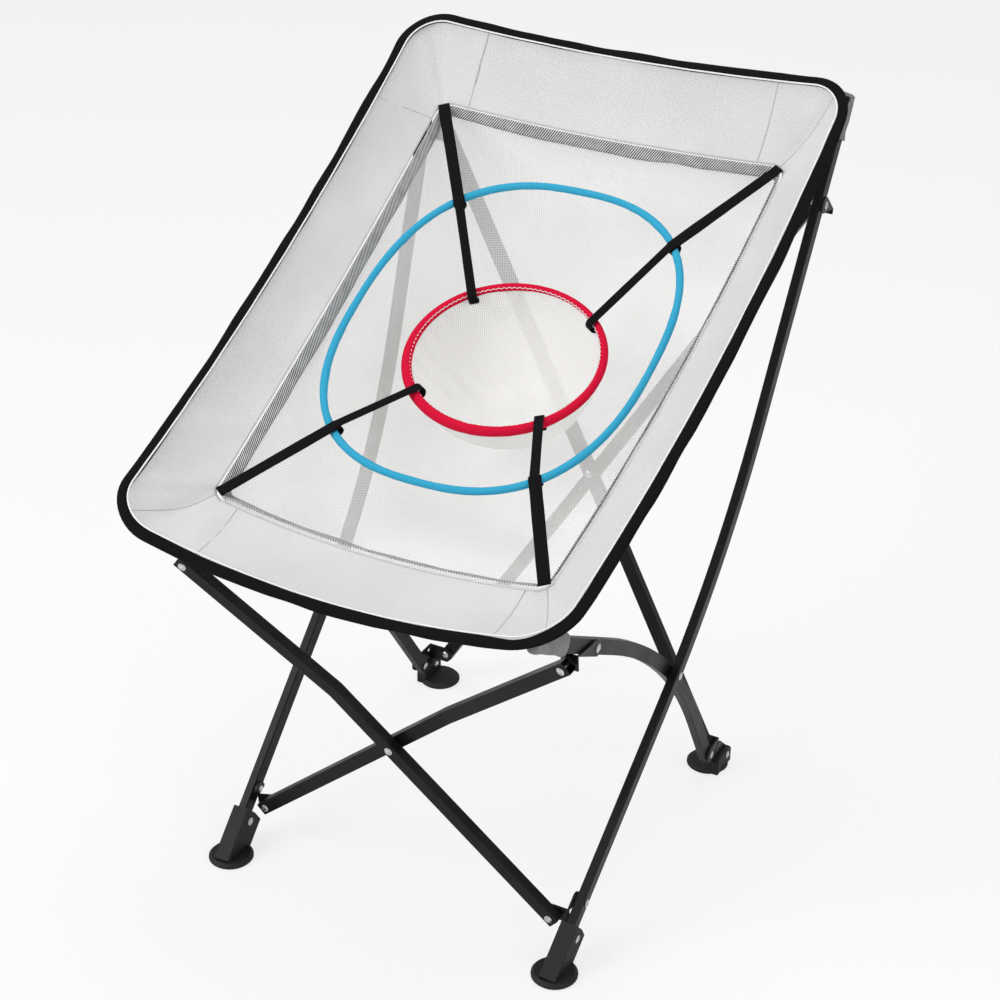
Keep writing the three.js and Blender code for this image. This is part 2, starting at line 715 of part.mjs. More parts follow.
// A fabric pocket: a sleeve over a tube's end, and a gusset from its seam up to the rim's tape.
// `tip` is the end of the tube's centre line, headed outwards, and the seam runs between two
// points of the side view, each given back from the tip and ahead of the tube's middle.
function cornerPocket({ tip, offset, length, seam, arc }) {
  const out = new THREE.Vector2(Math.cos(tip.heading), Math.sin(tip.heading));
  const along = (s) => ({ at: tip.at.clone().addScaledVector(out, s), heading: tip.heading });
  const lean = (geometry) => alongX(geometry, offset).rotateY(splay).translate(footHalfSpacing, 0, 0);
  const slack = 2 * pocketPlay;
  const grow = slack + 2 * pocketWall;
  const outline = ribbon([along(-length), along(pocketPlay + pocketWall)], tubeWidth + grow);
  const sleeve = lean(plate(outline, tubeThickness + grow, pocketRound));
  const bore = ribbon([along(-length - 1), along(pocketPlay)], tubeWidth + slack);
  const hollow = lean(plate(bore, tubeThickness + slack));
  const onSleeve = ([back, ahead], across) => {
    const p = along(-back).at.add(new THREE.Vector2(-out.y, out.x).multiplyScalar(ahead));
    return new THREE.Vector3(...sidePoint(offset + across, p.x, p.y));
  };
  const lerp = THREE.MathUtils.lerp;
  const seamPoint = (t) => [lerp(seam[0][0], seam[1][0], t), lerp(seam[0][1], seam[1][1], t)];
  const half = pocketWall / 2;
  // The gusset is pinched shut at both its ends.
  const lens = [[0, 0], [0.25, -half], [0.5, -half], [0.75, -half], [1, 0], [0.75, half], [0.5, half], [0.25, half]];
  const low = lens.map(([t, across]) => onSleeve(seamPoint(t), across));
  const high = lens.map(([t, aside]) => underRim(lerp(...arc, t), aside));
  return cut(joined(sleeve, skin([low, high], false)), hollow);
}

// ---- assembly -----------------------------------------------------------------------
const chippingNet = new THREE.Group();

for (const [side, sign] of [["right", 1], ["left", -1]]) {
  const half = new THREE.Group();
  half.scale.x = sign;
  const leaning = new THREE.Group();
  leaning.position.x = footHalfSpacing;
  leaning.rotation.y = splay;
  half.add(leaning);

  leaning.add(mesh(`long_pole_${side}`, pole(), paintedTube()));
  leaning.add(mesh(`side_tube_${side}`, sideTube(), paintedTube()));
  const pivotGrip = 2 * tubeThickness + sideGap;
  const pivot = alongX(rivet(pivotGrip), sideTubeOffset / 2, ...sidePivot);
  leaning.add(mesh(`side_pivot_rivet_${side}`, pivot, rivetSteel()));

  half.add(mesh(`front_foot_${side}`, frontFoot(), footPlastic()));
  const bootPin = alongX(rivet(bootWidth), 0, ...onPole(...bootRivet));
  leaning.add(mesh(`front_foot_rivet_${side}`, bootPin, rivetSteel()));

  // Of the two bars of a pair, the one that starts at the right foot lies in front.
  const lowBar = (sign * barSpacing) / 2;
  const highBar = -lowBar;
  const beside = (barThickness + bracketThickness) / 2 + clearance;
  const besideOpen = beside + rivetHeadHeight;
  const tubeOuter = sideTubeOffset + tubeThickness / 2;
  const places = [
    {
      name: "front_lower", plane: frontPlane, barPin: frontLowPin, member: 0, face: -tubeThickness / 2,
      crossPin: frontPolePin, bar: lowBar, offset: lowBar - beside, high: sign < 0 ? 3.5 : bracketHalfHeight,
    },
    {
      name: "front_hub", plane: frontPlane, barPin: frontHighPin, member: sideTubeOffset, face: tubeOuter,
      crossPin: hubPin, bar: highBar + frontReach, offset: highBar + frontReach - besideOpen - openPivotGap, open: true,
    },
    {
      name: "rear_lower", plane: backPlane, barPin: backLowPin, member: sideTubeOffset, face: tubeOuter,
      crossPin: rearPin, bar: lowBar, offset: lowBar + beside, leg: true,
    },
    {
      name: "rear_top", plane: backPlane, barPin: backHighPin, member: 0, face: tubeThickness / 2,
      crossPin: topPin, bar: highBar, offset: highBar + besideOpen + openTopGap, open: true, high: -3,
    },
  ];
  for (const place of places) {
    const { name, plane, barPin, member, face, bar, offset, open } = place;
    const [faceX] = sidePoint(face, ...place.crossPin);
    const [memberX, y, z] = sidePoint(member, ...place.crossPin);
    const outward = Math.sign(face - member);
    const flange = faceX + outward * (bracketGap + bracketThickness / 2);
    const made = bracket({ ...place, crossPin: [y, z], flange });
    half.add(mesh(`${name}_bracket_${side}`, made, paintedPlate()));

    // The rivet through the bar also holds the bracket, or at an open pivot ends short of it.
    const pin = plane.toPlane(barPin);
    const towards = Math.sign(offset - bar);
    const grip = open ? barThickness : barThickness + bracketThickness + clearance;
    const through = rivet(grip).translate(0, 0, open ? 0 : (towards * (bracketThickness + clearance)) / 2);
    if (name === "front_hub") through.applyMatrix4(upperBarTilt(front));
    through.translate(pin.x, pin.y, bar).applyMatrix4(plane.group.matrix);
    half.add(mesh(`${name}_bar_rivet_${side}`, through, rivetSteel()));

    // The rivet along X through the pole or tube and the bracket's other flange
    const near = memberX - (outward * tubeThickness) / 2 - outward * 0.3;
    const far = flange + (outward * bracketThickness) / 2;
    const across = alongX(rivet(Math.abs(far - near)), (near + far) / 2, y, z);
    half.add(mesh(`${name}_cross_rivet_${side}`, across, rivetSteel()));
    if (place.leg) {
      half.add(mesh(`rear_foot_${side}`, rearFoot(flange), footPlastic()));
      const legRivet = alongX(rivet(rearBossWidth), flange, ...rearLegRivet);
      half.add(mesh(`rear_foot_rivet_${side}`, legRivet, rivetSteel()));
    }
  }
  const seamAhead = tubeWidth / 2 + pocketPlay + pocketWall / 2;
  const endWall = -pocketPlay - pocketWall / 2;
  const upperPocket = cornerPocket({
    tip: poleLine[poleLine.length - 1], offset: 0, length: upperPocketLength,
    seam: sideSeam.map((back) => [back, seamAhead]), arc: upperGusset,
  });
  half.add(mesh(`upper_pocket_${side}`, upperPocket, greyFabric()));
  const [tubeTip] = sideTubeLine;
  const lowerPocket = cornerPocket({
    tip: { at: tubeTip.at, heading: tubeTip.heading + Math.PI }, offset: sideTubeOffset,
    length: lowerPocketLength, seam: [[endWall, endSeam], [endWall, -endSeam]], arc: lowerGusset,
  });
  half.add(mesh(`lower_pocket_${side}`, lowerPocket, greyFabric()));
  chippingNet.add(half);
}

// Crossed bars
const frontRight = crossBar(front, frontReach);
const frontLeft = crossBar(front, frontReach).scale(-1, 1, 1);
const backRight = crossBar(back, 0);
const backLeft = crossBar(back, 0).scale(-1, 1, 1);
function addBars(plane, pieces) {
  const group = new THREE.Group();
  group.applyMatrix4(plane.group.matrix);
  for (const [name, geometry, n] of pieces) {
    const bar = mesh(name, geometry, paintedTube());
    bar.position.z = n;
    group.add(bar);
  }
  chippingNet.add(group);
  return group;
}
function mirrored(geometry) {
  const index = geometry.index.array;
  for (let i = 0; i < index.length; i += 3) [index[i], index[i + 1]] = [index[i + 1], index[i]];
  return geometry;
}
addBars(
  frontPlane,
  [
    ["front_bar_right_low", frontRight, barSpacing / 2],
    ["front_bar_left_low", mirrored(frontLeft), -barSpacing / 2],
  ],
).add(mesh("front_pivot_rivet", rivet(barSpacing + barThickness).translate(0, front.pivotHeight, 0), rivetSteel()));
const backBars = addBars(
  backPlane,
  [
    ["back_bar_right_low", backRight, barSpacing / 2],
    ["back_bar_left_low", mirrored(backLeft), -barSpacing / 2],
  ],
);
// The back pair's pivot is open: each bar keeps its own half of the rivet.
for (const [name, turn] of [["front", 0], ["rear", Math.PI]]) {
  const half = halfRivet().rotateY(turn).translate(0, back.pivotHeight, 0);
  backBars.add(mesh(`back_pivot_rivet_${name}`, half, rivetSteel()));
}

// Net
const net = new THREE.Group();
net.position.set(...netCentre);
net.rotation.x = rad(netSlopeDeg);
net.add(mesh("rim_binding", rimBinding(), blackBinding()));
net.add(mesh("fabric_border", border(), paleFabric()));
net.add(mesh("pocket_bag", pocketBag(), whiteMesh()));
net.add(mesh("outer_hoop", hoop(outerHoop), blueFabric()));
net.add(mesh("inner_hoop", hoop(innerHoop), redFabric()));
net.add(mesh("inner_cup_net", cupNet(), whiteMesh()));
for (const [name, points] of Object.entries(strapPaths)) {
  net.add(mesh(`strap_${name}_right`, strap(points, 1), blackBinding()));
  net.add(mesh(`strap_${name}_left`, strap(points, -1), blackBinding()));
}
chippingNet.add(net);

// The part's origin lies on the ground, below the middle of its whole width and depth.
chippingNet.position.y = -originBack;

export default chippingNet;
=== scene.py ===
# A folding chipping net: a four-legged scissor frame of flat tube holding a fabric target.
# Metres, +Z up, +Y towards the back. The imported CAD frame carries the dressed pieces.
import math

import bmesh
import bpy
from mathutils import Matrix, Vector, noise


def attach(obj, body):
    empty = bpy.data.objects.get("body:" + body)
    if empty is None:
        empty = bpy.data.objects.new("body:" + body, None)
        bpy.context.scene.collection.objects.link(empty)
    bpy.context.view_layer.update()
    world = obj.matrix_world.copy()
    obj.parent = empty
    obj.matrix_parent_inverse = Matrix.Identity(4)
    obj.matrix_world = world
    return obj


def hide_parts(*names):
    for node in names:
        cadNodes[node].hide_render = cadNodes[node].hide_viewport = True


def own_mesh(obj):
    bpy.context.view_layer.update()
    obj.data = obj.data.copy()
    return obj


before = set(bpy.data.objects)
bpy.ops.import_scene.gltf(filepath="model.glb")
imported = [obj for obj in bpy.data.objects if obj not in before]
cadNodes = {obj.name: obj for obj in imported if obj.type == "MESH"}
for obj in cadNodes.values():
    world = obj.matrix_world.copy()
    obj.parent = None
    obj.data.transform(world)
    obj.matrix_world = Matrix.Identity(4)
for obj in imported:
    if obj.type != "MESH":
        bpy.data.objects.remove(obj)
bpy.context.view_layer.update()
mm = 0.001
print("frame loaded:", len(cadNodes), "nodes")


# Node wiring

def makeNode(tree, kind, values=(), **settings):
    node = tree.nodes.new("ShaderNode" + kind)
    for key, value in settings.items():
        setattr(node, key, value)
    for key, value in dict(values).items():
        if isinstance(value, bpy.types.NodeSocket):
            tree.links.new(value, node.inputs[key])
        else:
            node.inputs[key].default_value = value
    return node


def newMaterial(name, roughness, colour=(0.5, 0.5, 0.5)):
    material = bpy.data.materials.new(name)
    material.use_nodes = True
    tree = material.node_tree
    shader = tree.nodes["Principled BSDF"]
    shader.inputs["Roughness"].default_value = roughness
    shader.inputs["Base Color"].default_value = (*colour, 1)
    return material, tree, shader


def mathNode(tree, operation, *inputs):
    return makeNode(tree, "Math", dict(enumerate(inputs)), operation=operation).outputs[0]


def mixColours(tree, factor, first, second):
    values = {"Factor": factor, 6: (*first, 1), 7: (*second, 1)}
    return makeNode(tree, "Mix", values, data_type="RGBA").outputs[2]


def noiseNode(tree, vector, scale, detail=2.0):
    values = {"Vector": vector, "Scale": scale, "Detail": detail}
    return makeNode(tree, "TexNoise", values).outputs["Fac"]


def spread(tree, value, low, high, newLow, newHigh):
    values = {"Value": value, "From Min": low, "From Max": high, "To Min": newLow, "To Max": newHigh}
    return makeNode(tree, "MapRange", values).outputs["Result"]


def bump(tree, shader, height, distance):
    node = makeNode(tree, "Bump", {"Height": height, "Distance": distance, "Strength": 1.0})
    tree.links.new(node.outputs["Normal"], shader.inputs["Normal"])


def threads(tree, coordinate, pitch):  # 0 between two threads, 1 on the middle of one; in millimetres
    phase = mathNode(tree, "MULTIPLY", coordinate, math.pi / (pitch * mm))
    return mathNode(tree, "ABSOLUTE", mathNode(tree, "SINE", phase))


def clothCoordinates(tree, turn=0.0):  # across and along the cloth in metres, turned by degrees
    uv = makeNode(tree, "UVMap", uv_map="cloth").outputs["UV"]
    values = {"Vector": uv, "Rotation": (0, 0, math.radians(turn))}
    turned = makeNode(tree, "Mapping", values).outputs["Vector"]
    split = makeNode(tree, "SeparateXYZ", {"Vector": turned})
    return uv, split.outputs["X"], split.outputs["Y"]


# Finishes

# Each paint: its colour and where hands have dulled it, and a grain with its depth in millimetres
tubePaint = {"colour": (0.004, 0.004, 0.0055), "worn": (0.009, 0.009, 0.0115), "roughness": 0.38,
             "grain": 900, "depth": 0.02, "gloss": 0.18}


def paintedMetal(name, paint):
    material, tree, shader = newMaterial(name, paint["roughness"])
    shader.inputs["Specular IOR Level"].default_value = paint["gloss"]
    place = makeNode(tree, "TexCoord").outputs["Object"]
    grain = noiseNode(tree, place, paint["grain"])
    cloud = noiseNode(tree, place, 18, 4)
    handled = spread(tree, cloud, 0.45, 0.75, 0, 1)
    colour = mixColours(tree, handled, paint["colour"], paint["worn"])
    tree.links.new(colour, shader.inputs["Base Color"])
    rough = spread(tree, cloud, 0.3, 0.7, paint["roughness"] - 0.06, paint["roughness"] + 0.08)
    tree.links.new(rough, shader.inputs["Roughness"])
    bump(tree, shader, grain, paint["depth"] * mm)
    return material


platePaint = {"colour": (0.004, 0.004, 0.0045), "worn": (0.01, 0.01, 0.011), "roughness": 0.33,
              "grain": 700, "depth": 0.03, "gloss": 0.28}
footMoulding = {"colour": (0.006, 0.006, 0.006), "worn": (0.016, 0.016, 0.016), "roughness": 0.6,
                "grain": 1400, "depth": 0.06, "gloss": 0.35}
steel = {"colour": (0.72, 0.72, 0.74), "dark": (0.35, 0.35, 0.37), "roughness": 0.3, "grain": 2600,
         "stains": 260, "depth": 0.02}


def rivetSteel():
    material, tree, shader = newMaterial("rivetSteel", steel["roughness"])
    shader.inputs["Metallic"].default_value = 1
    place = makeNode(tree, "TexCoord").outputs["Object"]
    turned = noiseNode(tree, place, steel["grain"], 3)
    stain = spread(tree, noiseNode(tree, place, steel["stains"]), 0.35, 0.75, 0, 1)
    colour = mixColours(tree, stain, steel["colour"], steel["dark"])
    tree.links.new(colour, shader.inputs["Base Color"])
    bump(tree, shader, turned, steel["depth"] * mm)
    return material


# Each cloth's pitch, from thread to thread, and depth are in millimetres, and its turn in degrees.
# The border's shade colour is painted shade for the hollows between its threads.
borderYarn = {"colour": (0.76, 0.76, 0.75), "shade": (0.56, 0.56, 0.555), "pitch": 2.0, "depth": 0.22,
              "turn": 12, "sheen": 0.15}


def borderWeave():
    material, tree, shader = newMaterial("borderWeave", 0.85)
    shader.inputs["Sheen Weight"].default_value = borderYarn["sheen"]
    uv, across, along = clothCoordinates(tree, borderYarn["turn"])
    warp = threads(tree, across, borderYarn["pitch"])
    weft = threads(tree, along, borderYarn["pitch"])
    weave = mathNode(tree, "MULTIPLY", warp, weft)
    # The gaps between the threads are painted shade, stronger or weaker in a random cloud.
    between = mathNode(tree, "SUBTRACT", 1.0, weave)
    cloud = spread(tree, noiseNode(tree, uv, 9, 3), 0.3, 0.7, 0.5, 1)
    shade = mathNode(tree, "MULTIPLY", between, cloud)
    colour = mixColours(tree, shade, borderYarn["colour"], borderYarn["shade"])
    tree.links.new(colour, shader.inputs["Base Color"])
    bump(tree, shader, weave, borderYarn["depth"] * mm)
    return material


# The net hides `open` of what lies behind it between its strands, and `closed` on them.
netYarn = {"colour": (0.97, 0.97, 0.955), "shade": (0.88, 0.88, 0.865), "pitch": 1.9, "turn": 18,
           "open": 0.24, "closed": 0.56, "depth": 0.1}


def netMesh():
    material, tree, shader = newMaterial("netMesh", 0.8)
    uv, across, along = clothCoordinates(tree, netYarn["turn"])
    warp = threads(tree, across, netYarn["pitch"])
    weft = threads(tree, along, netYarn["pitch"])
    strands = mathNode(tree, "MAXIMUM", warp, weft)
    cloud = noiseNode(tree, uv, 14, 3)
    colour = mixColours(tree, cloud, netYarn["colour"], netYarn["shade"])
    tree.links.new(colour, shader.inputs["Base Color"])
    alpha = spread(tree, strands, 0.5, 0.95, netYarn["open"], netYarn["closed"])
    tree.links.new(alpha, shader.inputs["Alpha"])
    bump(tree, shader, strands, netYarn["depth"] * mm)
    return material


hatch = {"dark": (0.012, 0.012, 0.012), "light": (0.75, 0.75, 0.74), "pitch": 2.3, "turn": 38,
         "linesShare": 0.85, "crossingShare": 0.15, "fraying": 0.35, "depth": 0.15}


def hatchedTape():
    material, tree, shader = newMaterial("hatchedTape", 0.8)
    uv, across, along = clothCoordinates(tree, hatch["turn"])
    lines = mathNode(tree, "MULTIPLY", threads(tree, across, hatch["pitch"]), hatch["linesShare"])
    crossing = threads(tree, along, hatch["pitch"] / 2)
    crossing = mathNode(tree, "MULTIPLY", crossing, hatch["crossingShare"])
    pattern = mathNode(tree, "ADD", lines, crossing)
    frayed = mathNode(tree, "MULTIPLY", noiseNode(tree, uv, 60, 3), hatch["fraying"])
    white = spread(tree, mathNode(tree, "SUBTRACT", pattern, frayed), 0.42, 0.62, 0, 1)
    tree.links.new(mixColours(tree, white, hatch["dark"], hatch["light"]), shader.inputs["Base Color"])
    bump(tree, shader, pattern, hatch["depth"] * mm)
    return material


band = {"roughness": 0.75, "gloss": 0.08, "cordsPerRib": 1.7, "depth": 0.2}


def wovenBand(name, colour, rib, ribHighlight=1.8):  # its ribs are painted brighter than its hollows by this factor, a painted highlight on the ribs
    material, tree, shader = newMaterial(name, band["roughness"])
    shader.inputs["Specular IOR Level"].default_value = band["gloss"]
    uv, across, along = clothCoordinates(tree)
    ribs = threads(tree, along, rib)
    cords = threads(tree, across, rib * band["cordsPerRib"])
    # The rib crossings are mixed towards a lighter copy of the colour: a painted highlight on the raised
    # ribs and painted shade in the hollows between them.
    weave = mathNode(tree, "MULTIPLY", ribs, cords)
    light = tuple(min(1, c * ribHighlight) for c in colour)
    tree.links.new(mixColours(tree, weave, colour, light), shader.inputs["Base Color"])
    bump(tree, shader, weave, band["depth"] * mm)
    return material


canvas = {"colour": (0.25, 0.25, 0.243), "shade": (0.17, 0.17, 0.166), "pitch": 0.9, "turn": 45,
          "depth": 0.12}


def canvasGrey():
    material, tree, shader = newMaterial("canvasGrey", 0.85)
    uv, across, along = clothCoordinates(tree, canvas["turn"])
    warp = threads(tree, across, canvas["pitch"])
    weft = threads(tree, along, canvas["pitch"])
    weave = mathNode(tree, "MULTIPLY", warp, weft)
    cloud = spread(tree, noiseNode(tree, uv, 40, 3), 0.3, 0.7, 0, 1)
    colour = mixColours(tree, cloud, canvas["colour"], canvas["shade"])
    tree.links.new(colour, shader.inputs["Base Color"])
    bump(tree, shader, weave, canvas["depth"] * mm)
    return material


finishes = {
    "tube": paintedMetal("paintedTube", tubePaint),
    "plate": paintedMetal("blackPlate", platePaint),
    "foot": paintedMetal("footMoulding", footMoulding),
    "rivet": rivetSteel(),
    "border": borderWeave(),
    "net": netMesh(),
    "tape": hatchedTape(),
    "binding": wovenBand("bindingTape", (0.0035, 0.0035, 0.004), 1.1),
    "strap": wovenBand("strapWebbing", (0.0035, 0.0035, 0.004), 1.6),
    "blue": wovenBand("blueSleeve", (0.035, 0.33, 0.52), 1.5, ribHighlight=1.35),
    "red": wovenBand("redSleeve", (0.58, 0.005, 0.035), 1.5, ribHighlight=1.3),
    "pocket": canvasGrey(),
    "thread": wovenBand("seamThread", (0.36, 0.36, 0.355), 1.2),
    # This pale white is partly a painted highlight along the border's turned fold; on the stitches that
    # share it, it is the white thread's own colour.
    "edge": wovenBand("turnedEdge", (0.86, 0.86, 0.85), 1.3, ribHighlight=1.05),
}
print("finishes made:", len(finishes))


# Lofted cloth

def setCloth(bm, rows, ring, acrossClosed):  # the cloth's own lengths, in metres, as its UV map
    uvLayer = bm.loops.layers.uv.new("cloth")
    slotLayer = bm.verts.layers.int["slot"]
    rowLayer = bm.verts.layers.int["row"]
    middle = rows[len(rows) // 2]
    count = len(middle)
    along = [0.0]
    for i in range(count):
        along.append(along[-1] + (middle[(i + 1) % count] - middle[i]).length)
    depth = [0.0]
    for first, second in zip(rows, rows[1:] + rows[:1]):
        step = sum((b - a).length for a, b in zip(first, second)) / count
        depth.append(depth[-1] + step)
    for face in bm.faces:
        slots = [loop.vert[slotLayer] for loop in face.loops]
        levels = [loop.vert[rowLayer] for loop in face.loops]
        wraps = ring and max(slots) == count - 1 and min(slots) == 0
        turns = acrossClosed and max(levels) == len(rows) - 1 and min(levels) == 0
        for loop, slot, level in zip(face.loops, slots, levels):
            u = along[count if wraps and slot == 0 else slot]
            v = depth[len(rows) if turns and level == 0 else level]
            loop[uvLayer].uv = (u, v)


def startLoop(bm, points, ring):
    slotLayer = bm.verts.layers.int.new("slot")
    bm.verts.layers.int.new("row")
    verts = [bm.verts.new(p) for p in points]
    for slot, vert in enumerate(verts):
        vert[slotLayer] = slot
    pairs = list(zip(verts, verts[1:] + verts[:1]))
    return [bm.edges.new(pair) for pair in (pairs if ring else pairs[:-1])]


def loft(rows, ring=True, acrossClosed=False, capFirst=False, capLast=False):
    # Each row of points follows from the last by an extrusion of its edges.
    bm = bmesh.new()
    edges = startLoop(bm, rows[0], ring)
    firstEdges = edges
    slotLayer = bm.verts.layers.int["slot"]
    rowLayer = bm.verts.layers.int["row"]
    for level, row in enumerate(rows[1:], 1):
        made = bmesh.ops.extrude_edge_only(bm, edges=edges)["geom"]
        fresh = {item for item in made if isinstance(item, bmesh.types.BMVert)}
        for vert in fresh:
            vert[rowLayer] = level
            vert.co = row[vert[slotLayer]]
        edges = [e for v in fresh for e in v.link_edges if e.other_vert(v) in fresh]
        edges = list(dict.fromkeys(edges))
    if acrossClosed:
        bmesh.ops.bridge_loops(bm, edges=firstEdges + edges)
    setCloth(bm, rows, ring, acrossClosed)
    if capFirst:
        bmesh.ops.contextual_create(bm, geom=firstEdges)
    if capLast:
        bmesh.ops.contextual_create(bm, geom=edges)
    bmesh.ops.recalc_face_normals(bm, faces=bm.faces)
    return bm


# The net rides the right pole.
gathering = {"body": "right_pole", "anchor": (0.25, 0, 0), "keep": 0.25}


def finishPiece(bm, name, finish, body=None, thickness=0.0, offset=0.0):
    # A piece without a body of its own belongs to the net.
    mesh = bpy.data.meshes.new(name)
    bm.to_mesh(mesh)
    bm.free()
    piece = bpy.data.objects.new(name, mesh)
    bpy.context.scene.collection.objects.link(piece)
    mesh.materials.append(finishes[finish])
    if thickness:
        wall = piece.modifiers.new("wall", "SOLIDIFY")
        wall.thickness = thickness
        wall.offset = offset
        applyModifiers(piece)
    piece.data.shade_smooth()
    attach(piece, body or gathering["body"])
    if not body:
        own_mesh(piece)
    return piece


def applyModifiers(piece):
    depsgraph = bpy.context.evaluated_depsgraph_get()
    shaped = bpy.data.meshes.new_from_object(piece.evaluated_get(depsgraph))
    piece.modifiers.clear()
    piece.data = shaped


# The net's own frame in millimetres: x across, w up its slope, n out of its front. A drop is
# how far a point hangs straight down from there.

net = {"centre": Vector((0, 16.8, 606)), "slope": math.radians(29.54)}
rim = {"centre": -1, "halfLength": 367, "top": 270, "bottom": 257, "topCorner": 50, "bottomCorner": 58,
       "topSag": 11, "sideSag": 30, "bottomSag": 32, "bow": 4, "height": 56}
opening = {"centre": 0, "halfLength": 282, "top": 210, "bottom": 192, "topCorner": 16,
           "bottomCorner": 16, "topSag": 7, "sideSag": 14, "bottomSag": 17, "bow": 4}
upSlope = Vector((0, math.cos(net["slope"]), math.sin(net["slope"])))
outOfNet = Vector((0, -math.sin(net["slope"]), math.cos(net["slope"])))


def onNet(x, w, n, drop=0.0):
    return (net["centre"] + Vector((x, 0, -drop)) + upSlope * w + outOfNet * n) * mm


def sagged(shape, inset, x, w):
    # (x, w, drop) of an outline's point, its side swollen by the bow and its edge sagging
    along = w / (shape["halfLength"] - inset)
    half = shape["bottom"] + (shape["top"] - shape["bottom"]) * (along + 1) / 2 - inset
    fromEnds = max(0, 1 - along ** 2)
    fromSides = max(0, 1 - (x / half) ** 2)
    endSag = shape["topSag"] if along > 0 else shape["bottomSag"]
    drop = shape["sideSag"] * fromEnds + endSag * fromSides * along ** 2
    return x + shape["bow"] * fromEnds * x / half, w + shape["centre"], drop


def netOutline(shape, inset, perCorner=14, perShort=44, perLong=70):
    # From the top right corner round by the top, left, bottom and right sides
    halfLength = shape["halfLength"] - inset
    top, bottom = shape["top"] - inset, shape["bottom"] - inset
    corners = [(top, halfLength, 0, "topCorner"), (-top, halfLength, 90, "topCorner"),
               (-bottom, -halfLength, 180, "bottomCorner"), (bottom, -halfLength, 270, "bottomCorner")]
    arcs = []
    for x, w, start, name in corners:
        corner = shape[name] - inset
        cx = x - math.copysign(corner, x)
        cw = w - math.copysign(corner, w)
        angles = [math.radians(start + 90 * i / (perCorner - 1)) for i in range(perCorner)]
        arcs.append([(cx + corner * math.cos(a), cw + corner * math.sin(a)) for a in angles])
    points = []
    for k, arc in enumerate(arcs):
        points += arc
        (x0, w0), (x1, w1) = arc[-1], arcs[(k + 1) % 4][0]
        count = perShort if k % 2 == 0 else perLong
        points += [(x0 + (x1 - x0) * i / count, w0 + (w1 - w0) * i / count) for i in range(1, count)]
    return [sagged(shape, inset, x, w) for x, w in points]


def mixed(first, second, share):
    return tuple(a + (b - a) * share for a, b in zip(first, second))


def wander(x, w, wave):  # a smooth random length, from (how much, over how far, seed)
    amount, size, seed = wave
    return amount * noise.noise(Vector((x / size + seed, w / size + seed * 1.7, seed * 0.3)))


def smooth(value):
    value = min(1, max(0, value))
    return value * value * (3 - 2 * value)


# Rim

binding = {"width": 12.6, "thickness": 5, "steps": 16, "squareness": 0.7, "ripple": (1.3, 45, 5),
           "narrowing": (1.8, 60, 3), "pinch": (0.25, 20, 9), "sway": (0.9, 50, 12)}
turnedEdge = {"inset": 12.6, "radius": 0.9, "above": 1.6, "ripple": (0.4, 30, 17)}


def rounded(angle, power):  # the cosine and sine of a circle squared off by its power
    c, s = math.cos(angle), math.sin(angle)
    return math.copysign(abs(c) ** power, c), math.copysign(abs(s) ** power, s)


def makeBinding():
    half = binding["width"] / 2
    path = netOutline(rim, half)
    outside = netOutline(rim, 0)
    rows = []
    for k in range(binding["steps"]):
        s, t = rounded(2 * math.pi * k / binding["steps"], binding["squareness"])
        row = []
        for (x, w, drop), (ox, ow, _) in zip(path, outside):
            out = Vector((ox - x, ow - w)).normalized()
            width = half - max(0, wander(x, w, binding["narrowing"]))
            rise = binding["thickness"] / 2 * t * (1 - abs(wander(x, w, binding["pinch"])))
            reach = s * width + wander(x, w, binding["sway"])
            height = rim["height"] + rise + wander(x, w, binding["ripple"])
            row.append(onNet(x + out.x * reach, w + out.y * reach, height, drop))
        rows.append(row)
    piece = finishPiece(loft(rows, acrossClosed=True), "rim_binding_tape", "binding")
    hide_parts("rim_binding")


def tubeRows(path, radius, sides=8):
    # Rows of a thin tube along closed (x, w, n, drop) points
    rows = []
    for k in range(sides):
        a = 2 * math.pi * k / sides
        row = []
        for i, (x, w, n, drop) in enumerate(path):
            after, before = path[(i + 1) % len(path)], path[i - 1]
            out = Vector((after[1] - before[1], before[0] - after[0])).normalized()
            reach, rise = radius * math.cos(a), radius * math.sin(a)
            row.append(onNet(x + out.x * reach, w + out.y * reach, n + rise, drop))
        rows.append(row)
    return rows


def makeTurnedEdge():  # the border cloth turned up against the tape, a real fold coloured paler than the border as a painted highlight along it
    height = rim["height"] + turnedEdge["above"]
    path = []
    for x, w, drop in netOutline(rim, turnedEdge["inset"]):
        path.append((x, w, height + wander(x, w, turnedEdge["ripple"]), drop))
    bm = loft(tubeRows(path, turnedEdge["radius"]), acrossClosed=True)
    finishPiece(bm, "border_turned_edge", "edge")


# Border

